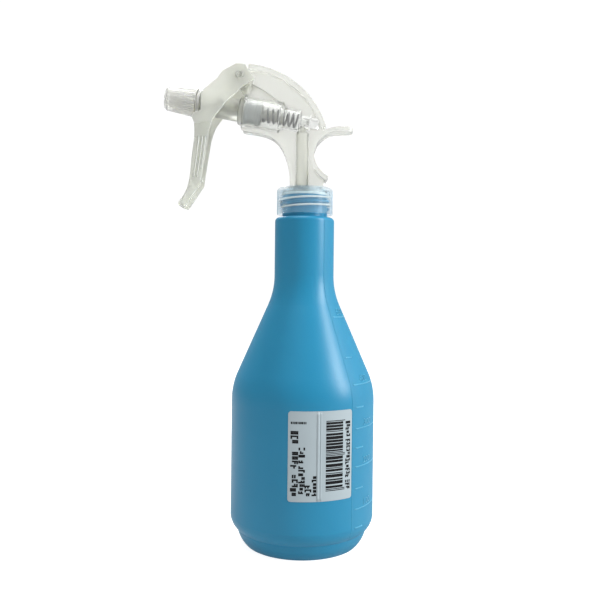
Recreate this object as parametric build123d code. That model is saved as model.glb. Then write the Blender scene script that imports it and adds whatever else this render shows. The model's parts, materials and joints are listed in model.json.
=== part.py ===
from build123d import *
import os
from math import sin, cos, tan, atan2, radians, degrees, hypot

# Trigger spray bottle, millimetres.
# Origin: centre of the standing ring, on the bottle's axis.  +Z up, the nozzle points to -X,
# and the label faces -Y.

# ---------------------------------------------------------------- bottle
BODY_R = 39.5
WALL = 1.1
FOOT_R = 31.2              # outer edge of the standing ring
FOOT_RING = 1.8
PUSH_UP = 3.0              # height of the recessed base
STEP_R, STEP_Z = 35.8, 8.6 # crease where the heel meets the foot
HEEL_Z = 15.4
BODY_TOP_Z = 78.6
SHOULDER_R = 37.0          # convex bend from the body into the cone
CONE_DEG = 23.75           # cone's slope from vertical
NECK_BEND_R = 40.0         # concave bend from the cone into the neck
NECK_R = 16.5
NECK_TOP_Z = 179.4
NECK_EDGE = 2.2
FINISH_R = 12.5            # 28-400 finish, E diameter 25
FINISH_TOP_Z = 191.6
BORE_R = 10.7

# ---------------------------------------------------------------- threads
THREAD_PITCH = 25.4 / 6    # 400 finish, six threads per inch
THREAD_TURNS = 1.25
THREAD_Z = 184.4           # centre of the thread's lower end
THREAD_OUT_R = 13.7
CAP_THREAD_IN_R = 12.95
CAP_THREAD_DEG, CAP_THREAD_TURNS = 180, 1.5   # where the closure's thread starts, and its length
NOZZLE_PITCH = 2.0
ROOT_BITE = 0.4            # how far a ridge is sunk into its wall

# ---------------------------------------------------------------- closure
CLOSURE_R = 15.55
CLOSURE_RIB = 0.35
CLOSURE_RIBS = 48
CLOSURE_BORE_R = 14.15
CLOSURE_Z0, CLOSURE_Z1 = 181.1, 195.7
CLOSURE_LID = 1.5
CLOSURE_HOLE_R = 10.2
GASKET_T = 1.2
GASKET_HOLE_R = 7.2
FLANGE_T = 1.3             # frame flange that the closure clamps
FLANGE_R = 12.4
FLANGE_Z0 = FINISH_TOP_Z + GASKET_T
FLANGE_Z1 = FLANGE_Z0 + FLANGE_T

# ---------------------------------------------------------------- label
LABEL_T = 0.14
LABEL_Z0, LABEL_Z1 = 32.6, 78.2
LABEL_LEFT_DEG, LABEL_RIGHT_DEG = -10.5, 40.0   # from -Y towards +X
LABEL_CORNER = 1.5

# ---------------------------------------------------------------- pump axis
TILT = 9.5                 # the nozzle end is raised by this many degrees
PUMP_X0, PUMP_Z0 = 7.2, 231.65   # rear end of the pump, on its axis
UP = (sin(radians(TILT)), 0, cos(radians(TILT)))
FRONT = (-cos(radians(TILT)), 0, sin(radians(TILT)))
PUMP = Plane(origin=(PUMP_X0, 0, PUMP_Z0), x_dir=UP, z_dir=FRONT)

# stations along the pump axis, measured forwards from its rear end
S_PLUG = 4.3
S_NECK = 5.3
S_SMALL0, S_SMALL1 = 10.8, 19.5
S_MAIN0, S_MAIN1 = 21.4, 42.4
S_FLANGE = 40.4            # rear face of the cylinder's front flange
S_GUIDE0, S_GUIDE1 = 42.0, 44.9
GUIDE_R = 7.9
PLUG_R, PLUG_FLANGE_R, PORT_R = 3.0, 4.5, 3.5
SMALL_R, SMALL_BORE_R = 6.15, 4.7
MAIN_R, MAIN_BORE_R = 8.65, 7.0
FLANGE_FLAT = 8.6          # the front flange's side flats, inside the trigger's cheeks
CYL_FLANGE_R = 9.5

ROD_R = 6.2
ROD_BORE_R = 2.2
S_PISTON0, S_PISTON1 = 33.6, 41.6
S_ROD_SHOULDER, S_ROD_END = 58.0, 68.0
ROD_NOSE_R = 5.5
SPRING_R, SPRING_WIRE_R, SPRING_TURNS = 3.6, 0.6, 6.6
STEM_TAIL_R, S_STEM_TAIL = 2.8, 20.3   # rod's tail, which keeps the spring straight
S_SPRING0, S_SPRING1 = 11.3, 31.6

# nozzle
S_COLLAR0, S_COLLAR1 = 66.9, 68.5
COLLAR_R = 7.4
S_CAP0, S_CAP1 = 68.8, 86.4
CAP_R0, CAP_R1 = 8.0, 6.9
CAP_RIBS, CAP_RIB = 36, 0.3
CAP_NOSE_R = 1.8           # rounding of the cap's front edge
CAP_BORE_R = 6.0
CAP_TIP_BORE_R = 5.0
S_CAP_STEP = 80.6
STEM_R = 5.0
S_STEM = 80.0
ORIFICE_R = 0.6
CHAMBER_R = 3.2
S_CHAMBER = 74.0
S_GASKET0, S_GASKET1 = 82.4, 83.4

# ---------------------------------------------------------------- trigger
PIVOT = (-36.2, 256.4)     # x, z of the trigger's pivot
PIVOT_R = 2.0
PIN_S = 55.2               # station of the rod's drive pins
PIN_R = 2.2
FIT = 0.06                 # radial running clearance
HOOD_HALF, CHEEK = 10.3, 1.2
SLOT_SKIN = 0.5            # cheek left over the blind ends of the drive slots
LEVER_HALF, LEVER_WALL = 7.75, 1.4
SKIN = 1.7                 # roof and finger-side wall
FLARE_Z0, FLARE_Z1 = 221.5, 231.2   # where the lever widens into the hood

# ---------------------------------------------------------------- frame
WEB = 1.2
RIB_HALF = 4.2
ARCH_C, ARCH_R, ARCH_T = (-35.1, 215.4), 48.7, 2.8
INNER_C, INNER_R, INNER_T = (-46.4, 211.1), 46.8, 2.0
RIB_T = 2.2
SADDLE_HALF, SADDLE_T = 6.5, 2.4
RISER_X, RISER_R, RISER_BORE_R = -1.7, 3.65, 2.6
RISER_TOP_Z = 229.0
ADAPTER_R = 4.6
TUBE_R, TUBE_BORE_R = 3.0, 2.2
TUBE_Z0, TUBE_Z1 = 6.0, 186.0
BALL_R = 2.0


# ---------------------------------------------------------------- helpers
def turned(*points):
    """Solid of revolution about Z from an outline of (radius, height) points."""
    outline = Polyline(*[(r, 0, z) for r, z in points], close=True)
    return revolve(make_face(outline), Axis.Z)


def on_pump(shape):
    return PUMP.location * shape


def side_plate(outline, half, y=0.0):
    """Plate from a closed outline in the XZ plane, reaching half each way from y."""
    return Pos(0, y, 0) * extrude(make_face(outline), amount=half, both=True)


def xz(*points):
    return [(x, 0, z) for x, z in points]


def rims(plate):
    """Edges of a plate's two flat sides."""
    return [e for e in plate.edges() if abs((e % 0.5).Y) < 0.1 and abs((e @ 0.5).Y) > 1]


def polar(centre, radius, degree):
    a = radians(degree)
    return centre[0] + radius * cos(a), centre[1] + radius * sin(a)


def arc_band(centre, radius, thickness, start, end, half):
    """Curved flange: part of a ring in the XZ plane, given width in Y."""
    mid = (start + end) / 2
    outer = [polar(centre, radius, a) for a in (start, mid, end)]
    inner = [polar(centre, radius - thickness, a) for a in (end, mid, start)]
    outline = [
        ThreePointArc(*xz(*outer)),
        Line(*xz(outer[-1], inner[0])),
        ThreePointArc(*xz(*inner)),
        Line(*xz(inner[-1], outer[0])),
    ]
    return side_plate(outline, half)


def rib(points, thickness, half):
    """Flange of even thickness that follows a smooth line through points in the XZ plane."""
    line = Spline(*xz(*points))
    left, right = [], []
    steps = 4 * len(points)
    for i in range(steps + 1):
        at, along = line @ (i / steps), line % (i / steps)
        nx, nz = -along.Z * thickness / 2, along.X * thickness / 2
        left.append((at.X + nx, at.Z + nz))
        right.append((at.X - nx, at.Z - nz))
    right.reverse()
    outline = [
        Spline(*xz(*left)),
        Line(*xz(left[-1], right[0])),
        Spline(*xz(*right)),
        Line(*xz(right[-1], left[0])),
    ]
    return side_plate(outline, half)


def ridge(root_r, crest_r, root_w, crest_w, pitch, turns, z0, start_deg=0.0):
    """Helical thread ridge, round Z, whose centre line starts at height z0."""
    helix = Helix(pitch=pitch, height=pitch * turns, radius=root_r)
    sign = 1 if crest_r > root_r else -1
    deep = root_r - sign * ROOT_BITE
    section = Polyline(
        (deep, 0, -root_w / 2), (root_r, 0, -root_w / 2), (crest_r, 0, -crest_w / 2),
        (crest_r, 0, crest_w / 2), (root_r, 0, root_w / 2), (deep, 0, root_w / 2), close=True,
    )
    solid = sweep(make_face(section), path=helix, is_frenet=True)
    return Pos(0, 0, z0) * Rot(0, 0, start_deg) * solid


def ribbed_outline(radius, depth, count):
    """Round outline with trapezoid ribs."""
    step = 360 / count
    edge = []
    for i in range(count):
        for share, r in ((0, radius - depth), (0.3, radius - depth), (0.45, radius), (0.85, radius)):
            edge.append(polar((0, 0), r, (i + share) * step))
    return make_face(Polyline(*edge, close=True))


def ribbed_cone(height):
    """Tapered nozzle cap outline with ribs that run into its rounded front."""
    foot = ribbed_outline(CAP_R0, CAP_RIB, CAP_RIBS)
    top = Pos(0, 0, height) * ribbed_outline(CAP_R1 + 0.15, CAP_RIB, CAP_RIBS)
    return loft([foot, top], ruled=True)


def coil(radius, wire, s0, s1, turns):
    """Round-wire compression spring round Z, from s0 to s1."""
    height = s1 - s0 - 2 * wire
    helix = Helix(pitch=height / turns, height=height, radius=radius)
    start = Plane(origin=helix @ 0, z_dir=helix % 0)
    return Pos(0, 0, s0 + wire) * sweep(start * Circle(wire), path=helix, is_frenet=True)


# ---------------------------------------------------------------- bottle and closure
def shoulder_line(inset):
    """Body, cone and neck of the bottle from the heel's top up, moved inwards by inset."""
    a = radians(CONE_DEG)
    bend_c = (BODY_R - SHOULDER_R, BODY_TOP_Z)
    top = polar(bend_c, SHOULDER_R, CONE_DEG)
    run = (top[0] - (NECK_R + NECK_BEND_R * (1 - cos(a)))) / sin(a)
    neck_c = (NECK_R + NECK_BEND_R, top[1] + run * cos(a) + NECK_BEND_R * sin(a))
    bend_r, neck_r = SHOULDER_R - inset, NECK_BEND_R + inset
    bend = [polar(bend_c, bend_r, d) for d in (0, CONE_DEG / 2, CONE_DEG)]
    neck = [polar(neck_c, neck_r, 180 + d) for d in (CONE_DEG, CONE_DEG / 2, 0)]
    lines = [
        Line(*xz((BODY_R - inset, HEEL_Z), bend[0])),
        ThreePointArc(*xz(*bend)),
        Line(*xz(bend[-1], neck[0])),
        ThreePointArc(*xz(*neck)),
    ]
    return lines, neck[-1]


def bottle_skin():
    lines, neck = shoulder_line(0)
    edge = NECK_TOP_Z - NECK_EDGE
    ring_in = FOOT_R - FOOT_RING
    return revolve(make_face([
        Line(*xz((0, PUSH_UP), (ring_in - 5, PUSH_UP))),
        Line(*xz((ring_in - 5, PUSH_UP), (ring_in, 0))),
        Line(*xz((ring_in, 0), (FOOT_R, 0))),
        ThreePointArc(*xz((FOOT_R, 0), (34.1, 3.9), (STEP_R, STEP_Z))),
        ThreePointArc(*xz((STEP_R, STEP_Z), (38.2, 11.4), (BODY_R, HEEL_Z))),
        *lines,
        Line(*xz(neck, (NECK_R, edge))),
        ThreePointArc(*xz((NECK_R, edge), polar((NECK_R - NECK_EDGE, edge), NECK_EDGE, 45),
                          (NECK_R - NECK_EDGE, NECK_TOP_Z))),
        Line(*xz((NECK_R - NECK_EDGE, NECK_TOP_Z), (FINISH_R, NECK_TOP_Z))),
        Line(*xz((FINISH_R, NECK_TOP_Z), (FINISH_R, FINISH_TOP_Z))),
        Line(*xz((FINISH_R, FINISH_TOP_Z), (0, FINISH_TOP_Z))),
        Line(*xz((0, FINISH_TOP_Z), (0, PUSH_UP))),
    ]), Axis.Z)


def bottle_cavity():
    lines, neck = shoulder_line(WALL)
    ring_in = FOOT_R - FOOT_RING
    floor = PUSH_UP + WALL
    top = FINISH_TOP_Z + 1
    throat = NECK_TOP_Z - 2.4
    return revolve(make_face([
        Line(*xz((0, floor), (ring_in - 4.6, floor))),
        Line(*xz((ring_in - 4.6, floor), (ring_in + 0.3, WALL))),
        Line(*xz((ring_in + 0.3, WALL), (FOOT_R - 0.5, WALL))),
        ThreePointArc(*xz((FOOT_R - 0.5, WALL), (33.1, 4.5), (STEP_R - WALL, STEP_Z + 0.3))),
        ThreePointArc(*xz((STEP_R - WALL, STEP_Z + 0.3), (37.3, 12.0), (BODY_R - WALL, HEEL_Z))),
        *lines,
        Line(*xz(neck, (NECK_R - WALL, throat - 3))),
        Line(*xz((NECK_R - WALL, throat - 3), (BORE_R, throat))),
        Line(*xz((BORE_R, throat), (BORE_R, top))),
        Line(*xz((BORE_R, top), (0, top))),
        Line(*xz((0, top), (0, floor))),
    ]), Axis.Z)


def bottle():
    thread = ridge(FINISH_R, THREAD_OUT_R, 2.0, 0.9, THREAD_PITCH, THREAD_TURNS, THREAD_Z)
    return bottle_skin() + thread - bottle_cavity()


def bottle_label():
    sheet = Polyline(*xz((BODY_R, LABEL_Z0), (BODY_R + LABEL_T, LABEL_Z0),
                         (BODY_R + LABEL_T, LABEL_Z1), (BODY_R, LABEL_Z1)), close=True)
    turn = LABEL_RIGHT_DEG - LABEL_LEFT_DEG
    label = revolve(make_face(sheet), Axis.Z, revolution_arc=turn)
    corners = [e for e in label.edges() if e.length < 2 * LABEL_T and abs((e % 0.5).Z) < 0.1]
    return Rot(0, 0, LABEL_LEFT_DEG - 90) * fillet(corners, LABEL_CORNER)


def closure_cap():
    height = CLOSURE_Z1 - CLOSURE_Z0
    shell = extrude(ribbed_outline(CLOSURE_R, CLOSURE_RIB, CLOSURE_RIBS), amount=height - 1.0)
    plain = CLOSURE_R - CLOSURE_RIB
    shell += turned((0, 0), (plain, 0), (plain, height - 0.6), (plain - 0.6, height), (0, height))
    lid = height - CLOSURE_LID
    shell -= turned((0, -1), (CLOSURE_BORE_R + 0.5, -1), (CLOSURE_BORE_R + 0.5, 0.2),
                    (CLOSURE_BORE_R, 0.7), (CLOSURE_BORE_R, lid), (CLOSURE_HOLE_R, lid),
                    (CLOSURE_HOLE_R, height + 1), (0, height + 1))
    between = THREAD_Z + THREAD_PITCH * (CAP_THREAD_DEG / 360 - 0.5) + 0.1
    thread = ridge(CLOSURE_BORE_R, CAP_THREAD_IN_R, 1.3, 0.7, THREAD_PITCH, CAP_THREAD_TURNS,
                   between - CLOSURE_Z0, CAP_THREAD_DEG)
    return Pos(0, 0, CLOSURE_Z0) * (shell + thread)


def neck_gasket():
    z = FINISH_TOP_Z
    return turned((GASKET_HOLE_R, z), (FINISH_R + 0.3, z),
                  (FINISH_R + 0.3, z + GASKET_T), (GASKET_HOLE_R, z + GASKET_T))


# ---------------------------------------------------------------- sprayer frame
def cylinder_envelope():
    """Outside of the pump cylinder and its plug, round Z."""
    return turned((0, 0), (PLUG_R, 0), (PLUG_R, S_PLUG), (PLUG_FLANGE_R, S_PLUG),
                  (PLUG_FLANGE_R, S_NECK), (PORT_R, S_NECK), (PORT_R, S_SMALL0 - 1),
                  (SMALL_R, S_SMALL0), (SMALL_R, S_SMALL1), (MAIN_R, S_MAIN0),
                  (MAIN_R, S_FLANGE), (CYL_FLANGE_R, S_FLANGE), (CYL_FLANGE_R, S_MAIN1 + 12),
                  (0, S_MAIN1 + 12))


def below_axis(x, drop):
    """Point in XZ that is drop below the pump axis, at a given x on the axis."""
    z = PUMP_Z0 + (PUMP_X0 - x) * tan(radians(TILT))
    return x - drop * UP[0], z - drop * UP[2]


def front_strut():
    """Lower front rib: up from the closure, then forwards under the cylinder."""
    foot = (-7.5, FLANGE_Z1)
    under = MAIN_R + 1.7
    return rib([foot, (-7.8, 204.0), (-9.6, 212.2), (-13.2, 219.8), (-17.6, 223.9),
                below_axis(-22.0, under), below_axis(-28.0, under), below_axis(-33.0, under)],
               RIB_T, RIB_HALF)


def saddle():
    """Tail over the hand, the hollow behind the web of the thumb, and the lower spur."""
    hollow = rib([(26.2, 228.5), (20.0, 228.3), (14.2, 227.6), (9.3, 225.0), (5.0, 219.6),
                  (3.7, 214.4), (5.0, 208.6), (8.0, 204.2), (12.2, 200.8)],
                 SADDLE_T, SADDLE_HALF)
    tip, round_r = 26.6, 3.5
    plan = RectangleRounded(2 * (tip + 20), 2 * SADDLE_HALF, round_r)
    keep = Pos(-20, 0, 190) * extrude(plan, amount=60)
    return hollow & keep


def web_plate():
    """Thin middle web that fills the frame."""
    arch = [polar(ARCH_C, ARCH_R - 1, d) for d in (85.5, 50, 17.5)]
    outline = [
        ThreePointArc(*xz(*arch)),
        Polyline(*xz(arch[-1], (9.4, 225.2), (5.0, 219.6), (3.7, 214.4), (5.0, 208.6),
                     (8.0, 204.2), (11.0, 201.6), (9.6, FLANGE_Z1 + 2.2),
                     (8.4, FLANGE_Z1 + 2.2), (8.4, FLANGE_Z0), (-7.5, FLANGE_Z0),
                     (-7.8, 204.0), (-9.6, 212.2), (-13.2, 219.8), (-17.6, 223.9),
                     below_axis(-22.0, MAIN_R + 1.7), below_axis(-34.2, MAIN_R + 1.7),
                     below_axis(-35.2, MAIN_R), below_axis(-36.0, -8.6),
                     (PIVOT[0] - 2.5, PIVOT[1] - 2), (PIVOT[0], PIVOT[1] + 2),
                     (PIVOT[0] + 5, PIVOT[1] + 2.6), arch[0])),
    ]
    return side_plate(outline, WEB / 2)


def sprayer_frame():
    frame = web_plate()
    frame += arc_band(ARCH_C, ARCH_R, ARCH_T, 86.3, 17.6, RIB_HALF)
    frame += arc_band(INNER_C, INNER_R, INNER_T, 68, 39, RIB_HALF)
    frame += front_strut()
    frame += saddle()
    frame += rib([(3.8, FLANGE_Z1), (3.9, 204.0), (3.9, 213.0)], 1.8, RIB_HALF)
    frame += rib([(-29.9, 255.2), (-31.4, 250.2), (-32.6, 245.0)], 1.3, RIB_HALF)
    boss = Rot(90, 0, 0) * Cylinder(3.4, 2 * (HOOD_HALF - CHEEK - 0.5))
    pins = Rot(90, 0, 0) * Cylinder(PIVOT_R, 2 * (HOOD_HALF - 0.2))
    frame += Pos(PIVOT[0], 0, PIVOT[1]) * (boss + pins)
    riser = Pos(RISER_X, 0, 0) * turned((0, FLANGE_Z0), (RISER_R, FLANGE_Z0),
                                        (RISER_R, RISER_TOP_Z - 3), (RISER_R - 0.9, RISER_TOP_Z - 1),
                                        (RISER_R - 1.9, RISER_TOP_Z + 0.6),
                                        (RISER_R - 1.9, RISER_TOP_Z + 2), (0, RISER_TOP_Z + 2))
    disc = turned((0, FLANGE_Z0), (FLANGE_R, FLANGE_Z0), (FLANGE_R, FLANGE_Z1),
                  (9.8, FLANGE_Z1), (9.8, CLOSURE_Z1 + 0.4), (0, CLOSURE_Z1 + 0.4))
    frame += riser + disc
    frame -= on_pump(cylinder_envelope())
    passage = turned((0, 180), (ADAPTER_R - 1.0, 180), (ADAPTER_R - 1.0, 199.0),
                     (RISER_BORE_R, 201.0), (RISER_BORE_R, RISER_TOP_Z - 2.5),
                     (1.0, RISER_TOP_Z - 1), (1.0, PUMP_Z0 + 1), (0, PUMP_Z0 + 1))
    return frame - Pos(RISER_X, 0, 0) * passage


# ---------------------------------------------------------------- intake
def tube_adapter():
    """Socket under the frame that holds the dip tube and carries the ball's seat."""
    r = ADAPTER_R
    socket = turned((TUBE_R, 180.0), (r, 180.0), (r, FLANGE_Z0), (r - 1.0, FLANGE_Z0),
                    (r - 1.0, 198.0), (2.9, 198.0), (2.9, 190.0), (BALL_R - 0.4, 188.6),
                    (BALL_R - 0.4, TUBE_Z1), (TUBE_R, TUBE_Z1))
    return Pos(RISER_X, 0, 0) * socket


def ball_cage():
    """Ring with an open cross that stops the ball when it lifts off its seat."""
    ring = turned((2.2, 194.6), (2.9, 194.6), (2.9, 197.0), (2.2, 197.0))
    bar = Pos(0, 0, 196.3) * Box(4.8, 0.9, 1.4)
    return Pos(RISER_X, 0, 0) * (ring + bar + Rot(0, 0, 90) * bar)


def intake_ball():
    return Pos(RISER_X, 0, 191.85) * Sphere(BALL_R)


def dip_tube():
    tube = turned((TUBE_BORE_R, TUBE_Z0), (TUBE_R, TUBE_Z0), (TUBE_R, TUBE_Z1),
                  (TUBE_BORE_R, TUBE_Z1))
    notch = Pos(0, 0, TUBE_Z0) * Rot(0, 20, 0) * Box(12, 12, 3)
    return Pos(RISER_X, 0, 0) * (tube - notch)


# ---------------------------------------------------------------- pump
def pump_cylinder():
    body = turned((PORT_R, S_NECK), (PORT_R, S_SMALL0 - 1), (SMALL_R, S_SMALL0),
                  (SMALL_R, S_SMALL1), (MAIN_R, S_MAIN0), (MAIN_R, S_FLANGE),
                  (CYL_FLANGE_R, S_FLANGE), (CYL_FLANGE_R, S_MAIN1),
                  (MAIN_BORE_R, S_MAIN1), (MAIN_BORE_R, S_MAIN0 + 0.6),
                  (SMALL_BORE_R, S_SMALL1 + 0.4), (SMALL_BORE_R, S_SMALL0 + 0.4),
                  (1.6, S_SMALL0 + 0.4), (1.6, S_NECK))
    for side in (-1, 1):
        body -= Pos(0, side * (FLANGE_FLAT + 2), S_MAIN1) * Box(30, 4, 6)
    port = Pos(RISER_X, 0, RISER_TOP_Z) * Cylinder(1.0, 8)
    return on_pump(body) - port


def cylinder_plug():
    """Clear plug that closes the moulding hole at the pump's rear end."""
    return on_pump(turned((0, 0.6), (PLUG_R - 0.6, 0), (PLUG_R, 0.6), (PLUG_R, S_PLUG),
                          (PLUG_FLANGE_R, S_PLUG), (PLUG_FLANGE_R, S_NECK),
                          (1.6, S_NECK), (1.6, S_NECK + 1.6), (0, S_NECK + 1.6)))


def rod_guide():
    """Bush with a spigot in the cylinder's mouth and a collar in front of it."""
    bore = ROD_R + FIT
    return on_pump(turned((bore, S_GUIDE0), (MAIN_BORE_R, S_GUIDE0), (MAIN_BORE_R, S_MAIN1),
                          (GUIDE_R, S_MAIN1), (GUIDE_R, S_GUIDE1 - 0.8), (GUIDE_R - 0.6, S_GUIDE1),
                          (bore, S_GUIDE1)))


def return_spring():
    return on_pump(coil(SPRING_R, SPRING_WIRE_R, S_SPRING0, S_SPRING1, SPRING_TURNS))


def piston():
    """Soft piston with a lip at each end."""
    lip, body = MAIN_BORE_R - FIT, MAIN_BORE_R - 0.9
    s0, s1 = S_PISTON0, S_PISTON1
    return on_pump(turned((4.4, s0 - 1.2), (lip - 0.7, s0 - 1.2), (lip, s0), (lip, s0 + 1.0),
                          (body, s0 + 2.0), (body, s1 - 2.0), (lip, s1 - 1.0), (lip, s1),
                          (lip - 0.6, s1), (4.4, s1 - 1.4)))


def piston_rod():
    """Hollow rod that carries the piston, the drive pins and the nozzle."""
    body = turned((ROD_BORE_R, S_STEM_TAIL), (STEM_TAIL_R - 0.3, S_STEM_TAIL),
                  (STEM_TAIL_R, S_STEM_TAIL + 0.5), (STEM_TAIL_R, S_SPRING1),
                  (4.4, S_SPRING1), (4.4, S_PISTON1),
                  (ROD_R, S_PISTON1), (ROD_R, S_ROD_SHOULDER - 0.7),
                  (ROD_NOSE_R, S_ROD_SHOULDER), (ROD_NOSE_R, S_COLLAR0), (4.2, S_COLLAR0),
                  (4.2, S_ROD_END), (ROD_BORE_R, S_ROD_END))
    pin = Pos(0, 0, PIN_S) * Rot(90, 0, 0) * Cylinder(PIN_R, 2 * (HOOD_HALF - SLOT_SKIN - 0.2))
    bore = Cylinder(ROD_R - 1, 20)
    return on_pump(body + (pin - Pos(0, 0, PIN_S) * bore))


def discharge_valve():
    s = S_ROD_END + 0.1
    return on_pump(turned((0, s), (2.7, s), (2.7, s + 1.2), (1.2, s + 1.2), (1.2, s + 3.0),
                          (0, s + 3.0)))


def discharge_spring():
    return on_pump(coil(2.0, 0.22, S_ROD_END + 2.3, S_CHAMBER - 0.1, 5.0))


# ---------------------------------------------------------------- nozzle
def nozzle_body():
    """Stem with a collar, an outside thread and a spray post."""
    stem = turned((CHAMBER_R, S_ROD_END), (4.2, S_ROD_END), (4.2, S_COLLAR0),
                  (COLLAR_R, S_COLLAR0), (COLLAR_R, S_COLLAR1), (STEM_R, S_COLLAR1),
                  (STEM_R, 76.2), (STEM_R - 0.8, 76.2), (STEM_R - 0.8, 77.8), (STEM_R, 77.8),
                  (STEM_R, 79.4), (STEM_R - 0.6, S_STEM), (2.0, S_STEM), (2.0, 81.4),
                  (0.8, 81.4), (0.8, S_CHAMBER), (CHAMBER_R, S_CHAMBER))
    thread = ridge(STEM_R, 5.6, 0.8, 0.4, NOZZLE_PITCH, 1.5, 70.6)
    return on_pump(stem + thread)


def nozzle_seal():
    """Round rubber ring in the stem's groove."""
    ring = Torus(STEM_R - 0.05, 0.7)
    return on_pump(Pos(0, 0, 77.0) * ring)


def spinner():
    """Swirl cup on the spray post."""
    s = S_STEM + 0.1
    cup = turned((2.05, s), (3.1, s), (3.1, s + 2.0), (1.1, s + 2.0), (1.1, s + 1.4),
                 (2.05, s + 1.4))
    for i in range(3):
        cup -= Rot(0, 0, 120 * i) * Pos(1.9, 0.9, s + 1.9) * Box(3.2, 0.6, 0.6)
    return on_pump(cup)


def cap_gasket():
    return on_pump(turned((1.3, S_GASKET0), (CAP_TIP_BORE_R - 0.1, S_GASKET0),
                          (CAP_TIP_BORE_R - 0.1, S_GASKET1), (1.3, S_GASKET1)))


def nozzle_cap():
    height = S_CAP1 - S_CAP0
    shell = ribbed_cone(height)
    nose = height - CAP_NOSE_R
    draft = revolve(make_face([
        Polyline(*xz((CAP_R1 - CAP_NOSE_R, height), (0, height), (0, 0), (CAP_R0 - 0.5, 0),
                     (CAP_R0, 0.5), (CAP_R1, nose))),
        ThreePointArc(*xz((CAP_R1, nose), polar((CAP_R1 - CAP_NOSE_R, nose), CAP_NOSE_R, 45),
                          (CAP_R1 - CAP_NOSE_R, height))),
    ]), Axis.Z)
    face, step = S_GASKET1 - S_CAP0, S_CAP_STEP - S_CAP0
    shell = shell & draft
    shell -= turned((0, -1), (CAP_BORE_R + 0.5, -1), (CAP_BORE_R + 0.5, 0), (CAP_BORE_R, 0.6),
                    (CAP_BORE_R, step), (CAP_TIP_BORE_R, step), (CAP_TIP_BORE_R, face),
                    (ORIFICE_R, face), (ORIFICE_R, height - 0.6),
                    (1.6, height + 0.1), (1.6, height + 1), (0, height + 1))
    thread = ridge(CAP_BORE_R, 5.4, 0.7, 0.4, NOZZLE_PITCH, 1.0, 71.6 - S_CAP0)
    return on_pump(Pos(0, 0, S_CAP0) * (shell + thread))


# ---------------------------------------------------------------- trigger
def lever_line(inset):
    """Finger side of the lever from its top to the tip, moved back by inset."""
    return [(-61.0 + inset, 231.0), (-60.8 + inset, 227.0), (-61.5 + inset, 219.0),
            (-62.6 + inset, 209.5), (-63.3 + inset, 201.5), (-64.4 + inset, 196.0),
            (-69.0 + inset, 187.6)]


def lever_back():
    return [(-65.6, 184.6), (-57.4, 197.0), (-56.0, 207.0), (-54.3, 218.4), (-52.4, 228.0),
            (-50.0, 233.4)]


def trigger_skin():
    """Outside of the trigger: wide hood, and a narrower lever that flares out to meet it."""
    hood = side_plate(Polyline(*xz(
        (-33.4, 262.2), (-28.0, 254.2), (-34.2, 250.2), (-43.3, 241.7), (-49.3, 234.2),
        (-51.6, 230.6), (-60.6, 229.2), (-62.3, 233.4), (-61.3, 235.4), (-57.5, 236.6),
        (-57.3, 246.8), (-55.5, 248.3), (-48.2, 254.8), (-45.4, 258.6), (-38.0, 262.5),
    ), close=True), HOOD_HALF)
    corners = [e for e in hood.edges() if abs((e % 0.5).Y) > 0.9]
    crown = [e for e in corners if (e @ 0.5).Z > 257 and (e @ 0.5).X < -37]
    hood = fillet(crown, 2.2)
    hood = fillet([e for e in hood.edges() if abs((e % 0.5).Y) > 0.9
                   and ((e @ 0.5).Z < 257 or (e @ 0.5).X > -37)], 0.6)
    hood = fillet(rims(hood), 0.35)
    back = lever_back()
    front = lever_line(0)
    lever_outline = [
        Spline(*xz(*front)),
        ThreePointArc(*xz(front[-1], (-68.3, 184.4), back[0])),
        Line(*xz(back[0], back[1])),
        Spline(*xz(*back[1:])),
        Line(*xz(back[-1], front[0])),
    ]
    flare = extrude(make_face(Polyline((-90, -HOOD_HALF, FLARE_Z1), (-90, HOOD_HALF, FLARE_Z1),
                                       (-90, LEVER_HALF - 0.2, FLARE_Z0),
                                       (-90, 0.2 - LEVER_HALF, FLARE_Z0), close=True)),
                    amount=60, dir=(1, 0, 0))
    flare = flare & side_plate(lever_outline, HOOD_HALF)
    return hood, fillet(rims(side_plate(lever_outline, LEVER_HALF)), 0.35) + flare


def drive_slot():
    """Cheek slot for the rod's pins, along the line from the pivot to the pins."""
    pin = PUMP.origin + PUMP.z_dir * PIN_S
    dx, dz = pin.X - PIVOT[0], pin.Z - PIVOT[1]
    far = hypot(dx, dz)
    near = abs(dx * UP[0] + dz * UP[2])
    reach = far - near + 0.6
    slot = extrude(SlotCenterToCenter(reach, 2 * (PIN_R + 0.45)), amount=HOOD_HALF - SLOT_SKIN,
                   both=True)
    angle = degrees(atan2(dz, dx))
    mid = (far + near) / 2 / far
    return Pos(PIVOT[0] + dx * mid, 0, PIVOT[1] + dz * mid) * Rot(90, 0, 0) * Rot(0, 0, angle) * slot


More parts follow.
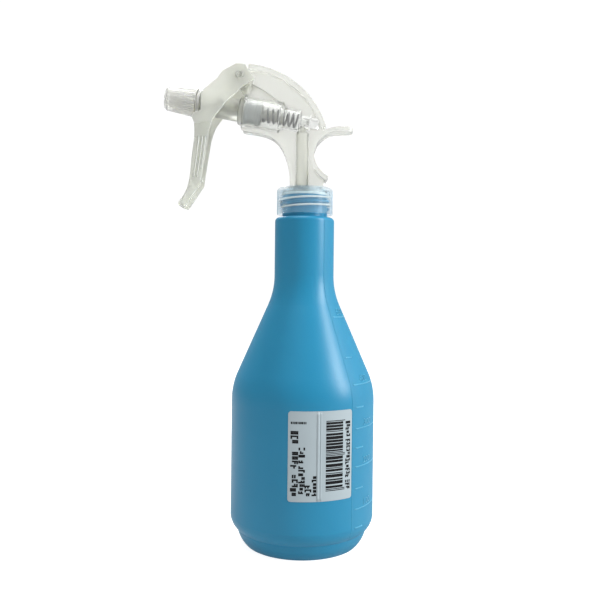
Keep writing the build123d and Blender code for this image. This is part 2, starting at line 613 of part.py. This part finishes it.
def trigger():
    hood, lever = trigger_skin()
    inside = side_plate(Polyline(*xz(
        (-34.0, 260.4), (-20.0, 262.0), (-20.0, 230.0), (-46.0, 226.0), (-52.4, 231.6),
        (-59.6, 231.6), (-60.0, 234.0), (-55.6, 236.6), (-55.6, 246.0), (-47.0, 253.5),
        (-44.2, 257.2), (-38.0, 260.7),
    ), close=True), HOOD_HALF - CHEEK)
    front = lever_line(SKIN)[:-1] + [(-67.2, 187.8)]
    channel = side_plate([
        Spline(*xz(*front)),
        Polyline(*xz(front[-1], (-66.2, 183.0), (-55.0, 183.0), (-45.0, 215.0), (-45.0, 234.0),
                     front[0])),
    ], LEVER_HALF - LEVER_WALL)
    ribs = side_plate([
        Spline(*xz(*lever_line(SKIN - 0.4)[:5])),
        Polyline(*xz(lever_line(SKIN - 0.4)[4], (-59.2, 200.6), (-56.6, 213.0), (-54.8, 224.0),
                     (-54.6, 231.0), lever_line(SKIN - 0.4)[0])),
    ], 0.6)
    body = hood + lever - inside - channel
    for y in (-3.2, 0, 3.2):
        body += Pos(0, y, 0) * ribs
    shelf = side_plate(Polyline(*xz((-62.0, 201.2), (-57.6, 201.2), (-57.8, 200.0),
                                    (-62.4, 200.0)), close=True), LEVER_HALF - 0.4)
    body += shelf
    slot_r = COLLAR_R + 0.35
    barrel = Pos(0, 0, 62) * (Cylinder(slot_r, 14) + Pos(12, 0, 0) * Box(24, 2 * slot_r, 14))
    body -= on_pump(barrel)
    body -= Pos(PIVOT[0], 0, PIVOT[1]) * Rot(90, 0, 0) * Cylinder(PIVOT_R + FIT, 40)
    return body - drive_slot()


# ---------------------------------------------------------------- write the parts
PARTS = [
    bottle, bottle_label, closure_cap, neck_gasket, sprayer_frame, tube_adapter, ball_cage,
    intake_ball, dip_tube, pump_cylinder, cylinder_plug, rod_guide, return_spring, piston,
    piston_rod, discharge_valve, discharge_spring, nozzle_body, nozzle_seal, spinner,
    cap_gasket, nozzle_cap, trigger,
]


def main():
    os.makedirs("parts", exist_ok=True)
    for make in PARTS:
        shape = make()
        export_step(shape, f"parts/{make.__name__}.step")


main()
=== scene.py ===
import bpy
import bmesh
import json
import math
import random
from mathutils import Matrix, Vector
from mathutils.bvhtree import BVHTree


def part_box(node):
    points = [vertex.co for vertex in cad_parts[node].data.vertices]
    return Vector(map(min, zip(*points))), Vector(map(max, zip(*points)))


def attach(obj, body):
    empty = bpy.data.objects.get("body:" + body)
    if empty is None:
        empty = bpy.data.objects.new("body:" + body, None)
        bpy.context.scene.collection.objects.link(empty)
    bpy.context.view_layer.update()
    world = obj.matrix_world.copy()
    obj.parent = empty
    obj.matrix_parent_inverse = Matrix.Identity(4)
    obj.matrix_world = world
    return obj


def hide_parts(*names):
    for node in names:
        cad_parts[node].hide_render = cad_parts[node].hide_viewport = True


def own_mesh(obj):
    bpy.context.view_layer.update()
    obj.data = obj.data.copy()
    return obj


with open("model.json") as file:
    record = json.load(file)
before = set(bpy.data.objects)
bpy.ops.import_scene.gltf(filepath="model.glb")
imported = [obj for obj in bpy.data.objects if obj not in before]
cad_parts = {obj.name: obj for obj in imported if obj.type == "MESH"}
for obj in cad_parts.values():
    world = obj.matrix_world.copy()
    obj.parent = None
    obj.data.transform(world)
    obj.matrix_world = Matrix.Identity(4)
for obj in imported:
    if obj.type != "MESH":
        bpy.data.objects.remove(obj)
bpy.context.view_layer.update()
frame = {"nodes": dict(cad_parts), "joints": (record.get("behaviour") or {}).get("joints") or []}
nodes = frame["nodes"]
MM = 0.001

# ---------------------------------------------------------------- sizes
# Angles round the bottle are in degrees from its label side (-Y) towards +X.
CAMERA_DISTANCE = 0.3914
CAMERA_HEIGHT = 0.1403
CAMERA_ROLL = 0.0107
AMBIENT = 0.42               # light of the surroundings on the object
SEEN_THROUGH = 0.94          # brightness of the surroundings through clear plastic
BACKDROP = 1.05              # brightness of the surroundings in the view
FLOOR_HALF = 6.0

PARTING_DEG = 41.0           # where the two halves of the bottle's mould meet
PARTING_LOW, PARTING_HIGH = 9.5, 177.5       # heights of the seam's ends, mm
SEAM_W, SEAM_H = 0.45 * MM, 0.1 * MM

# The embossed scale: heights of the lines in mm, and how far round they reach.
LONG_MARKS = ((25.6, "100"), (47.6, "200"), (67.5, "300"), (90.0, "400"), (124.8, "500"))
SHORT_MARKS = (15.9, 36.3, 57.4, 78.5, 103.8)
MARK_LEFT_DEG, MARK_SHORT_DEG, MARK_LONG_DEG = 44.0, 54.0, 80.0
MARK_STEP_DEG = 2
MARK_WIDTH, MARK_HEIGHT = 0.7 * MM, 0.25 * MM
SUNK = 0.1 * MM              # how far raised details start below the surface
DIGIT_HEIGHT, DIGIT_GAP = 3.2 * MM, 1.2 * MM
DIGIT_WIDEN = 1.15

# The label's print, in mm from its left edge and its bottom.
LABEL_LEFT_DEG = -10.5
INK_T = 0.02 * MM
BAR_LEFT, BAR_RIGHT, GUARD_RIGHT = 19.5, 29.2, 30.4
BAR_LOW, BAR_LENGTH, BAR_UNITS = 5.0, 36.0, 95
BAR_SPREAD = 0.1             # ink spread past each bar, in units
# Each mock line of print: left, right, low, high, and the strokes' share of its height.
PRINT_LINES = ((1.3, 4.4, 3.0, 27.0, 0.28), (1.3, 4.4, 29.5, 36.8, 0.28), (5.4, 7.9, 3.0, 28.0, 0.34),
               (8.6, 11.3, 3.0, 8.8, 0.3), (12.2, 14.6, 3.0, 13.2, 0.36), (30.7, 33.0, 5.0, 40.5, 0.32))
DASH_LEFT, DASH_RIGHT, DASH_LOW, DASH_HIGH = 1.4, 9.2, 39.2, 40.4
# The label's fold as two ridges: place from the left edge, width and height.
FOLD_RIDGES = ((15.4, 1.5, 0.36), (16.9, 0.9, 0.2))

THREAD_PITCH = 25.4 / 6 * MM
THREAD_LOW = 3.6 * MM        # the closure's thread starts this far above its rim
THREAD_START_DEG, THREAD_TURN_DEG = 205, 500
LEVER_HALF = 7.75 * MM       # half widths of the trigger's lever and of its hood
HOOD_HALF = 10.3 * MM
LEVER_FRONT = ((-60.6, 228.0), (-60.9, 222.0), (-61.7, 214.0), (-62.6, 206.0), (-63.4, 200.6))
# The lever's raised lines: distance behind its front edge in mm, and share of its length.
LEVER_LINES = ((2.2, 1.0), (4.0, 1.0), (5.6, 0.86))


# ---------------------------------------------------------------- camera, floor and light
def make_camera():
    data = bpy.data.cameras.new("camera")
    data.lens, data.sensor_width = 42.0, 36.0
    data.shift_x, data.shift_y = -0.0065, -0.02
    data.clip_start, data.clip_end = 0.01, 20
    camera = bpy.data.objects.new("camera", data)
    place = Matrix.Translation((0, -CAMERA_DISTANCE, CAMERA_HEIGHT))
    level = Matrix.Rotation(math.pi / 2, 4, "X")
    camera.matrix_world = place @ level @ Matrix.Rotation(CAMERA_ROLL, 4, "Z")
    bpy.context.scene.collection.objects.link(camera)
    bpy.context.scene.camera = camera


def area_light(name, place, target, size, power, colour=(1, 1, 1), size_y=None):
    data = bpy.data.lights.new(name, "AREA")
    data.energy, data.color, data.size = power, colour, size
    if size_y:
        data.shape, data.size_y = "RECTANGLE", size_y
    light = bpy.data.objects.new(name, data)
    light.location = place
    aim = Vector(target) - Vector(place)
    light.rotation_euler = aim.to_track_quat("-Z", "Y").to_euler()
    bpy.context.scene.collection.objects.link(light)


def make_world():
    """White behind the object and through its clear plastic, and a softer grey on its surfaces."""
    world = bpy.data.worlds.new("studio")
    bpy.context.scene.world = world
    world.use_nodes = True
    tree = world.node_tree
    path = tree.nodes.new("ShaderNodeLightPath")
    inside = maths(tree, "GREATER_THAN", path.outputs["Transmission Depth"], 0.5)
    shader = tree.nodes["Background"]
    shader.inputs["Color"].default_value = (0.97, 0.98, 1, 1)
    shader.inputs["Strength"].default_value = AMBIENT
    for ray, strength in ((inside, SEEN_THROUGH), (path.outputs["Is Camera Ray"], BACKDROP)):
        white = tree.nodes.new("ShaderNodeBackground")
        white.inputs["Strength"].default_value = strength
        white.inputs["Color"].default_value = (1, 1, 1, 1)
        mix = tree.nodes.new("ShaderNodeMixShader")
        tree.links.new(ray, mix.inputs["Fac"])
        tree.links.new(shader.outputs[0], mix.inputs[1])
        tree.links.new(white.outputs["Background"], mix.inputs[2])
        shader = mix
    tree.links.new(shader.outputs[0], tree.nodes["World Output"].inputs["Surface"])


def make_lights():
    area_light("window", (0.78, -0.27, 0.50), (0, 0, 0.12), 0.18, 8.0, (0.96, 0.99, 1), 0.55)
    area_light("top", (-0.1, -0.15, 1.0), (0, 0, 0.2), 0.5, 5.0)
    area_light("rim", (-0.25, 0.6, 0.85), (-0.02, 0, 0.23), 0.35, 7.0)
    area_light("fill", (-0.7, -0.6, 0.25), (0, 0, 0.12), 0.9, 0.3, (0.9, 0.98, 1))


def make_floor():
    mesh = bpy.data.meshes.new("floor")
    corners = [(x * FLOOR_HALF, y * FLOOR_HALF, 0) for x, y in ((-1, -1), (1, -1), (1, 1), (-1, 1))]
    mesh.from_pydata(corners, [], [(0, 1, 2, 3)])
    floor = bpy.data.objects.new("floor", mesh)
    bpy.context.scene.collection.objects.link(floor)
    mat, tree, shader = new_material("floor_paint")
    shader.inputs["Base Color"].default_value = (0.4, 0.4, 0.4, 1)
    shader.inputs["Roughness"].default_value = 0.9
    shader.inputs["Emission Color"].default_value = (1, 1, 1, 1)
    seen = tree.nodes.new("ShaderNodeLightPath").outputs["Is Camera Ray"]
    tree.links.new(remapped(tree, seen, 0.3, 0.9), shader.inputs["Emission Strength"])
    mesh.materials.append(mat)


# ---------------------------------------------------------------- material helpers
def new_material(name):
    mat = bpy.data.materials.new(name)
    mat.use_nodes = True
    tree = mat.node_tree
    return mat, tree, tree.nodes["Principled BSDF"]


def srgb(*levels):
    """Linear colour from 0-255 levels."""
    return tuple(c / 12.92 if c <= 0.04045 else ((c + 0.055) / 1.055) ** 2.4
                 for c in (v / 255 for v in levels)) + (1.0,)


def object_place(tree):
    return tree.nodes.new("ShaderNodeTexCoord").outputs["Object"]


def noise(tree, scale, detail=3.0):
    """Noise that keeps its place on the object."""
    tex = tree.nodes.new("ShaderNodeTexNoise")
    tex.inputs["Scale"].default_value = scale
    tex.inputs["Detail"].default_value = detail
    tree.links.new(object_place(tree), tex.inputs["Vector"])
    return tex.outputs["Fac"]


def ramp(tree, fac, *stops):
    """Colour that goes from the first of two (place, colour) stops to the second."""
    node = tree.nodes.new("ShaderNodeValToRGB")
    for element, (place, colour) in zip(node.color_ramp.elements, stops):
        element.position = place
        element.color = colour
    tree.links.new(fac, node.inputs["Fac"])
    return node.outputs["Color"]


def mottle(tree, shader, colour, change, scale):
    """Base colour that varies slightly over the surface."""
    dark = tuple(c * (1 - change) for c in colour[:3]) + (1,)
    light = tuple(min(1, c * (1 + change)) for c in colour[:3]) + (1,)
    tree.links.new(ramp(tree, noise(tree, scale), (0.3, dark), (0.7, light)), shader.inputs["Base Color"])


def bump(tree, shader, fac, strength, distance):
    node = tree.nodes.new("ShaderNodeBump")
    node.inputs["Strength"].default_value = strength
    node.inputs["Distance"].default_value = distance
    tree.links.new(fac, node.inputs["Height"])
    tree.links.new(node.outputs["Normal"], shader.inputs["Normal"])


def remapped(tree, fac, low, high):
    node = tree.nodes.new("ShaderNodeMapRange")
    node.inputs["To Min"].default_value = low
    node.inputs["To Max"].default_value = high
    tree.links.new(fac, node.inputs["Value"])
    return node.outputs["Result"]


def uneven_gloss(tree, shader, low, high, scale):
    tree.links.new(remapped(tree, noise(tree, scale, 4), low, high), shader.inputs["Roughness"])


def maths(tree, operation, first, second):
    node = tree.nodes.new("ShaderNodeMath")
    node.operation = operation
    for value, socket in zip((first, second), node.inputs):
        if isinstance(value, (int, float)):
            socket.default_value = value
        else:
            tree.links.new(value, socket)
    return node.outputs["Value"]


def mould_half_and_painted_light(tree):
    """0 on the mould half that carries the label and 1 on the other, with a sharp change at the parting. It
    sets the rougher finish and the painted lighter colour of the scale's half.
    """
    across = math.radians(PARTING_DEG)
    dot = tree.nodes.new("ShaderNodeVectorMath")
    dot.operation = "DOT_PRODUCT"
    tree.links.new(object_place(tree), dot.inputs[0])
    dot.inputs[1].default_value = (math.cos(across), math.sin(across), 0)
    side = tree.nodes.new("ShaderNodeMapRange")
    side.inputs["From Min"].default_value = -0.0002
    side.inputs["From Max"].default_value = 0.0002
    tree.links.new(dot.outputs["Value"], side.inputs["Value"])
    return side.outputs["Result"]


# ---------------------------------------------------------------- materials
def bottle_plastic():
    """Satin blue polyethylene. The label's mould half is a little glossier than the scale's, and the
    scale's half is painted a lighter colour for the window light on that side.
    """
    mat, tree, shader = new_material("bottle_plastic")
    side = mould_half_and_painted_light(tree)
    label_half = ramp(tree, noise(tree, 16), (0.3, srgb(28, 128, 166)), (0.7, srgb(32, 133, 171)))
    # Painted light: the scale's half, on the window side, is a lighter colour than the label's half.
    scale_half_painted_light = ramp(tree, noise(tree, 16), (0.3, srgb(42, 130, 166)), (0.7, srgb(46, 135, 171)))
    blend = tree.nodes.new("ShaderNodeMix")
    blend.data_type = "RGBA"
    tree.links.new(side, blend.inputs["Factor"])
    tree.links.new(label_half, blend.inputs["A"])
    tree.links.new(scale_half_painted_light, blend.inputs["B"])
    tree.links.new(blend.outputs["Result"], shader.inputs["Base Color"])
    grain = remapped(tree, noise(tree, 60, 4), 0.32, 0.40)
    rougher = maths(tree, "MULTIPLY", side, 0.2)
    tree.links.new(maths(tree, "ADD", grain, rougher), shader.inputs["Roughness"])
    bump(tree, shader, noise(tree, 900, 2), 0.1, 0.0002)
    shader.inputs["Specular IOR Level"].default_value = 0.38
    shader.inputs["Subsurface Weight"].default_value = 0.12
    shader.inputs["Subsurface Radius"].default_value = (0.2, 0.6, 1.0)
    shader.inputs["Subsurface Scale"].default_value = 0.003
    return mat


def embossed_painted_highlight():
    """The bottle's plastic on its fine raised marks, painted a lighter blue than the bottle as a highlight
    for the light they catch.
    """
    mat, tree, shader = new_material("embossed_painted_highlight")
    # Painted highlight: a lighter blue than the bottle's own colour.
    mottle(tree, shader, srgb(74, 158, 191), 0.04, 40)
    uneven_gloss(tree, shader, 0.28, 0.4, 90)
    return mat


def milky(name, colour, clear, rough, scale=25, scatter=0.3):
    """Natural polypropylene: lets light through and scatters it."""
    mat, tree, shader = new_material(name)
    mottle(tree, shader, colour, 0.03, scale)
    uneven_gloss(tree, shader, rough * 0.8, rough * 1.2, 80)
    bump(tree, shader, noise(tree, 500, 2), 0.03, 0.0002)
    shader.inputs["IOR"].default_value = 1.42
    shader.inputs["Transmission Weight"].default_value = clear
    shader.inputs["Subsurface Weight"].default_value = scatter
    shader.inputs["Subsurface Radius"].default_value = (1.0, 1.0, 0.9)
    shader.inputs["Subsurface Scale"].default_value = 0.003
    return mat


def closure_plastic():
    """Thin natural polypropylene that shows the thread behind it."""
    mat, tree, shader = new_material("closure_plastic")
    mottle(tree, shader, srgb(178, 213, 230), 0.02, 40)
    uneven_gloss(tree, shader, 0.1, 0.18, 90)
    shader.inputs["Transmission Weight"].default_value = 0.6
    shader.inputs["IOR"].default_value = 1.3
    shader.inputs["Alpha"].default_value = 0.3
    return mat


def clear_plastic():
    mat, tree, shader = new_material("clear_plastic")
    mottle(tree, shader, (0.93, 0.94, 0.92, 1), 0.01, 30)
    uneven_gloss(tree, shader, 0.05, 0.1, 90)
    shader.inputs["IOR"].default_value = 1.4
    shader.inputs["Transmission Weight"].default_value = 0.9
    return mat


def spring_steel():
    mat, tree, shader = new_material("spring_steel")
    mottle(tree, shader, (0.13, 0.13, 0.135, 1), 0.15, 400)
    uneven_gloss(tree, shader, 0.3, 0.42, 700)
    shader.inputs["Metallic"].default_value = 1.0
    return mat


def soft_rubber(name, colour):
    mat, tree, shader = new_material(name)
    mottle(tree, shader, colour, 0.05, 200)
    uneven_gloss(tree, shader, 0.55, 0.7, 200)
    bump(tree, shader, noise(tree, 1500, 3), 0.2, 0.0001)
    return mat


def label_paper():
    mat, tree, shader = new_material("label_paper")
    mottle(tree, shader, srgb(166, 178, 183), 0.02, 60)
    uneven_gloss(tree, shader, 0.4, 0.55, 120)
    bump(tree, shader, noise(tree, 1800, 3), 0.1, 0.00005)
    return mat


def ink():
    mat, tree, shader = new_material("ink")
    mottle(tree, shader, (0.006, 0.006, 0.007, 1), 0.3, 300)
    uneven_gloss(tree, shader, 0.5, 0.7, 300)
    shader.inputs["Specular IOR Level"].default_value = 0.15
    return mat


def give(node, mat):
    mesh = nodes[node].data
    mesh.materials.clear()
    mesh.materials.append(mat)


def finish_cad_nodes(made):
    frame_pp = milky("frame_plastic", srgb(247, 248, 242), 0.8, 0.2)
    rod_pp = milky("rod_plastic", srgb(222, 223, 215), 0.6, 0.3)
    nozzle_pp = milky("nozzle_inner_plastic", srgb(252, 252, 246), 0.4, 0.25, scatter=0.6)
    rubber = soft_rubber("gasket_rubber", srgb(228, 228, 221))
    clear = clear_plastic()
    give("bottle", made["bottle"])
    give("bottle_label", made["label"])
    give("closure_cap", made["closure"])
    give("trigger", made["trigger"])
    give("nozzle_cap", milky("nozzle_plastic", srgb(255, 255, 246), 0.55, 0.14, scatter=0.6))
    give("piston", soft_rubber("piston_plastic", srgb(176, 180, 180)))
    give("dip_tube", milky("tube_plastic", srgb(230, 230, 224), 0.5, 0.25))
    for node in ("sprayer_frame", "tube_adapter", "ball_cage", "rod_guide"):
        give(node, frame_pp)
    for node in ("piston_rod", "discharge_valve"):
        give(node, rod_pp)
    for node in ("nozzle_body", "spinner"):
        give(node, nozzle_pp)
    for node in ("pump_cylinder", "cylinder_plug"):
        give(node, clear)
    for node in ("return_spring", "discharge_spring", "intake_ball"):
        give(node, made["steel"])
    for node in ("neck_gasket", "nozzle_seal", "cap_gasket"):
        give(node, rubber)


# ---------------------------------------------------------------- mesh helpers
def piece(name, mesh, mat, body, smooth=True):
    mesh.materials.append(mat)
    for face in mesh.polygons:
        face.use_smooth = smooth
    obj = bpy.data.objects.new(name, mesh)
    bpy.context.scene.collection.objects.link(obj)
    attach(obj, body)
    return obj


def closed_mesh(name, build):
    """Mesh from a function that fills a bmesh, with its normals outwards."""
    bm = bmesh.new()
    build(bm)
    bmesh.ops.recalc_face_normals(bm, faces=bm.faces)
    mesh = bpy.data.meshes.new(name)
    bm.to_mesh(mesh)
    bm.free()
    return mesh


def round_dir(degree):
    a = math.radians(degree)
    return Vector((math.sin(a), -math.cos(a), 0))


class Skin:
    """The bottle's outer surface."""

    def __init__(self):
        self.tree = BVHTree.FromObject(nodes["bottle"], bpy.context.evaluated_depsgraph_get())

    def at(self, degree, z):
        """Point and outward normal at an angle round the bottle and a height."""
        out = round_dir(degree)
        place, normal, _, _ = self.tree.ray_cast(Vector((0, 0, z)) + out * 0.08, -out)
        if normal.dot(out) < 0:
            normal = -normal
        return place, normal


def loft(bm, rings, looped=False):
    """Faces from each ring of vertices to the next: a closed loop, or a run with capped ends."""
    count = len(rings[0])
    pairs = list(zip(rings, rings[1:]))
    if looped:
        pairs.append((rings[-1], rings[0]))
    for near, far in pairs:
        for j in range(count):
            k = (j + 1) % count
            bm.faces.new((near[j], near[k], far[k], far[j]))
    if not looped:
        bm.faces.new(rings[0])
        bm.faces.new(rings[-1])


def ridge_along(bm, stations, width, height, sunk):
    """Low rounded ridge along (point, normal) stations, with closed ends that slope down."""
    profile = [(-0.5, -sunk / height), (-0.5, 0.0), (-0.3, 0.75), (0.0, 1.0),
               (0.3, 0.75), (0.5, 0.0), (0.5, -sunk / height)]
    rings = []
    last = len(stations) - 1
    for i, (place, normal) in enumerate(stations):
        along = (stations[min(i + 1, last)][0] - stations[max(i - 1, 0)][0]).normalized()
        across = along.cross(normal).normalized()
        lift = 0.35 if i in (0, last) else 1.0
        rings.append([bm.verts.new(place + across * (u * width)
                                   + normal * (v * height * (lift if v > 0 else 1)))
                      for u, v in profile])
    loft(bm, rings)


# ---------------------------------------------------------------- marks on the bottle
def scale_lines(bm, skin):
    """The lines of the embossed scale: long at each 100 ml, short half way between."""
    long_lines = [(z, MARK_LONG_DEG) for z, _ in LONG_MARKS]
    short_lines = [(z, MARK_SHORT_DEG) for z in SHORT_MARKS]
    for z, end in long_lines + short_lines:
        steps = round((end - MARK_LEFT_DEG) / MARK_STEP_DEG)
        stations = [skin.at(MARK_LEFT_DEG + (end - MARK_LEFT_DEG) * i / steps, z * MM)
                    for i in range(steps + 1)]
        ridge_along(bm, stations, MARK_WIDTH, MARK_HEIGHT, SUNK)


def scale_digits(bm, skin):
    """The numbers above the long lines, bent round the bottle."""
    for z, words in LONG_MARKS:
        data = bpy.data.curves.new("digits", "FONT")
        data.body = words
        data.size = 1.0
        data.extrude = 0.5
        data.resolution_u = 3
        flat = bpy.data.objects.new("digits", data)
        bpy.context.scene.collection.objects.link(flat)
        mesh = bpy.data.meshes.new_from_object(flat)
        bpy.data.objects.remove(flat)
        size = DIGIT_HEIGHT / max(v.co.y for v in mesh.vertices)
        radius = skin.at(60, z * MM)[0].xy.length
        for v in mesh.vertices:
            degree = MARK_SHORT_DEG + math.degrees(v.co.x * size * DIGIT_WIDEN / radius)
            place, normal = skin.at(degree, z * MM + DIGIT_GAP + v.co.y * size)
            raised = MARK_HEIGHT if v.co.z > 0 else -SUNK
            v.co = place + normal * raised
        bm.from_mesh(mesh)
        bpy.data.meshes.remove(mesh)


def parting_lines(bm, skin):
    """Fine raised seams where the mould's halves met."""
    steps = 84
    rise = (PARTING_HIGH - PARTING_LOW) / steps
    for degree in (PARTING_DEG, PARTING_DEG + 180):
        stations = [skin.at(degree, (PARTING_LOW + rise * i) * MM) for i in range(steps + 1)]
        ridge_along(bm, stations, SEAM_W, SEAM_H, 0.8 * SUNK)


def bottle_marks(mat, embossed):
    skin = Skin()
    for name, build in (("scale_lines", scale_lines), ("scale_digits", scale_digits),
                        ("parting_lines", parting_lines)):
        mesh = closed_mesh(name, lambda bm: build(bm, skin))
        # The scale's lines and digits take the lighter plastic with the painted highlight.
        own = mat if name == "parting_lines" else embossed
        piece(name, mesh, own, "bottle", smooth=name != "scale_digits")


# ---------------------------------------------------------------- label print
def label_place(u, v, height=0.0):
    """Point on the label, u from its left edge and v above its bottom, both along the paper."""
    low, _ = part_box("bottle_label")
    face = -low[1]
    out = round_dir(LABEL_LEFT_DEG + math.degrees(u / face))
    return out * (face + height) + Vector((0, 0, low[2] + v))


def ink_patch(bm, u0, u1, v0, v1):
    """Thin block of ink that follows the label's curve."""
    steps = max(1, math.ceil((u1 - u0) / (1.0 * MM)))
    rings = []
    for i in range(steps + 1):
        u = u0 + (u1 - u0) * i / steps
        rings.append([bm.verts.new(label_place(u, v, h))
                      for v, h in ((v0, 0), (v1, 0), (v1, INK_T), (v0, INK_T))])
    loft(bm, rings)


def barcode(bm):
    """Made-up bars of one to four units, with longer guards at both ends and in the middle."""
    rng = random.Random(11)
    unit = BAR_LENGTH * MM / BAR_UNITS
    at = 0
    while at < BAR_UNITS:
        width = rng.choice((1, 2, 3, 3, 4))
        in_guard = at < 3 or at > BAR_UNITS - 5 or abs(at - BAR_UNITS / 2) < 2
        if in_guard:
            width = 1
        end = min(at + width, BAR_UNITS)
        right = GUARD_RIGHT if in_guard else BAR_RIGHT
        low = BAR_LOW * MM + at * unit
        high = BAR_LOW * MM + (end + BAR_SPREAD) * unit
        ink_patch(bm, BAR_LEFT * MM, right * MM, low, high)
        at = end + (1 if in_guard else rng.choice((1, 1, 1, 2)))


def mock_line(bm, rng, u0, u1, v0, v1, weight):
    """A line of meaningless marks that only has the density of small print. It runs up the label."""
    height = u1 - u0
    thick = weight * height
    advance = height * 0.72
    wide = advance * 0.8
    at = v0
    while at + wide < v1:
        if rng.random() < 0.14:
            at += advance * 0.6
            continue
        tall = height * (1.0 if rng.random() < 0.5 else 0.72)
        # Upright strokes by their place along the line, and level ones by their share of the height.
        strokes = [("upright", 0), ("upright", wide - thick), ("level", 0), ("level", 1), ("level", 0.5)]
        for kind, place in rng.sample(strokes, rng.choice((2, 3, 3))):
            if kind == "level":
                top = u1 - tall * place
                ink_patch(bm, top, top + thick, at, at + wide)
            else:
                ink_patch(bm, u1 - tall, u1, at + place, at + place + thick)
        at += advance


def small_print(bm):
    """Mock lines of print, and a row of short dashes near the label's top."""
    rng = random.Random(5)
    for u0, u1, v0, v1, weight in PRINT_LINES:
        mock_line(bm, rng, u0 * MM, u1 * MM, v0 * MM, v1 * MM, weight)
    at = DASH_LEFT
    while at < DASH_RIGHT:
        wide = rng.choice((0.5, 0.7, 0.8))
        ink_patch(bm, at * MM, (at + wide) * MM, DASH_LOW * MM, DASH_HIGH * MM)
        at += wide + rng.choice((0.15, 0.25))


def crease(bm):
    """Fold pressed into the label from top to bottom."""
    low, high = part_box("bottle_label")
    tall = high[2] - low[2]
    steps = 24
    for u, width, rise in FOLD_RIDGES:
        stations = []
        for i in range(steps + 1):
            place = label_place(u * MM, tall * (0.008 + 0.984 * i / steps))
            stations.append((place, place.xy.normalized().to_3d()))
        ridge_along(bm, stations, width * MM, rise * MM, 0.5 * SUNK)


def label_details(paper):
    black = ink()
    for name, build in (("barcode", barcode), ("small_print", small_print)):
        piece(name, closed_mesh(name, build), black, "bottle", smooth=False)
    piece("label_crease", closed_mesh("label_crease", crease), paper, "bottle")


# ---------------------------------------------------------------- closure
def closure_thread(bm):
    """Crest of the closure's inner thread, which shows through its wall as pale lines."""
    low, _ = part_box("closure_cap")
    profile = ((14.25, -0.5), (13.1, -0.25), (13.1, 0.25), (14.25, 0.5))
    steps = 72
    rings = []
    for i in range(steps + 1):
        turned = THREAD_TURN_DEG * i / steps
        angle = math.radians(THREAD_START_DEG + turned)
        out = Vector((math.cos(angle), math.sin(angle), 0))
        level = low[2] + THREAD_LOW + THREAD_PITCH * turned / 360
        rings.append([bm.verts.new(out * (r * MM) + Vector((0, 0, level + h * MM))) for r, h in profile])
    loft(bm, rings)


# ---------------------------------------------------------------- sprayer
def lever_ribs(bm):
    """Fine raised lines that run down both sides of the lever."""
    curve = bpy.data.curves.new("lever_line", "CURVE")
    curve.dimensions = "3D"
    curve.resolution_u = 12
    line = curve.splines.new("NURBS")
    line.points.add(len(LEVER_FRONT) - 1)
    for point, (x, z) in zip(line.points, LEVER_FRONT):
        point.co = (x * MM, 0, z * MM, 1)
    line.use_endpoint_u = True
    line.order_u = 4
    holder = bpy.data.objects.new("lever_line", curve)
    bpy.context.scene.collection.objects.link(holder)
    path = bpy.data.meshes.new_from_object(holder)
    bpy.data.objects.remove(holder)
    for inset, reach in LEVER_LINES:
        for side in (-1, 1):
            stations = []
            for i, v in enumerate(path.vertices):
                share = i / (len(path.vertices) - 1)
                if share <= reach:
                    back = inset * (1 + 0.12 * (1 - share)) * MM
                    place = v.co + Vector((back, side * LEVER_HALF, 0))
                    stations.append((place, Vector((0, side, 0))))
            ridge_along(bm, stations, 0.6 * MM, 0.4 * MM, SUNK)
    bpy.data.meshes.remove(path)


def pivot_rings(bm):
    """Low round boss on each cheek of the trigger, round its pivot."""
    centre = Vector(next(j for j in frame["joints"] if j["name"] == "trigger_pull")["pos_m"])
    profile = ((1.5, -0.1), (1.5, 0.2), (1.7, 0.35), (2.0, 0.35), (2.2, 0.2), (2.2, -0.1))
    steps = 40
    for side in (-1, 1):
        rings = []
        for i in range(steps):
            angle = math.tau * i / steps
            out = Vector((math.cos(angle), 0, math.sin(angle)))
            rings.append([bm.verts.new(centre + out * (r * MM)
                                       + Vector((0, side * (HOOD_HALF + h * MM), 0)))
                          for r, h in profile])
        loft(bm, rings, looped=True)


def pump_spring(steel):
    """The return spring, as the head's own copy of the CAD spring in its rest shape. The real spring
    shortens as the pump is pushed in.
    """
    coil = piece("pump_spring", nodes["return_spring"].data.copy(), steel, "head")
    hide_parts("return_spring")
    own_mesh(coil)


bpy.context.scene.view_settings.view_transform = "Standard"
made = {
    "bottle": bottle_plastic(),
    "label": label_paper(),
    "trigger": milky("trigger_plastic", srgb(233, 234, 226), 0.52, 0.4, scatter=0.5),
    "steel": spring_steel(),
    "closure": closure_plastic(),
    "pale": milky("pale_plastic", srgb(238, 241, 236), 0.25, 0.2),
    "embossed": embossed_painted_highlight(),
    "rib": milky("rib_plastic", srgb(242, 244, 238), 0.3, 0.2),
}
make_camera()
make_world()
make_lights()
make_floor()
finish_cad_nodes(made)
bottle_marks(made["bottle"], made["embossed"])
label_details(made["label"])
pump_spring(made["steel"])
for name, build, mat, body, slot in (
        ("closure_thread", closure_thread, "pale", "closure", "closure_plastic"),
        ("lever_ribs", lever_ribs, "rib", "trigger", "trigger_plastic"),
        ("pivot_rings", pivot_rings, "trigger", "trigger", "trigger_plastic")):
    piece(name, closed_mesh(name, build), made[mat], body)
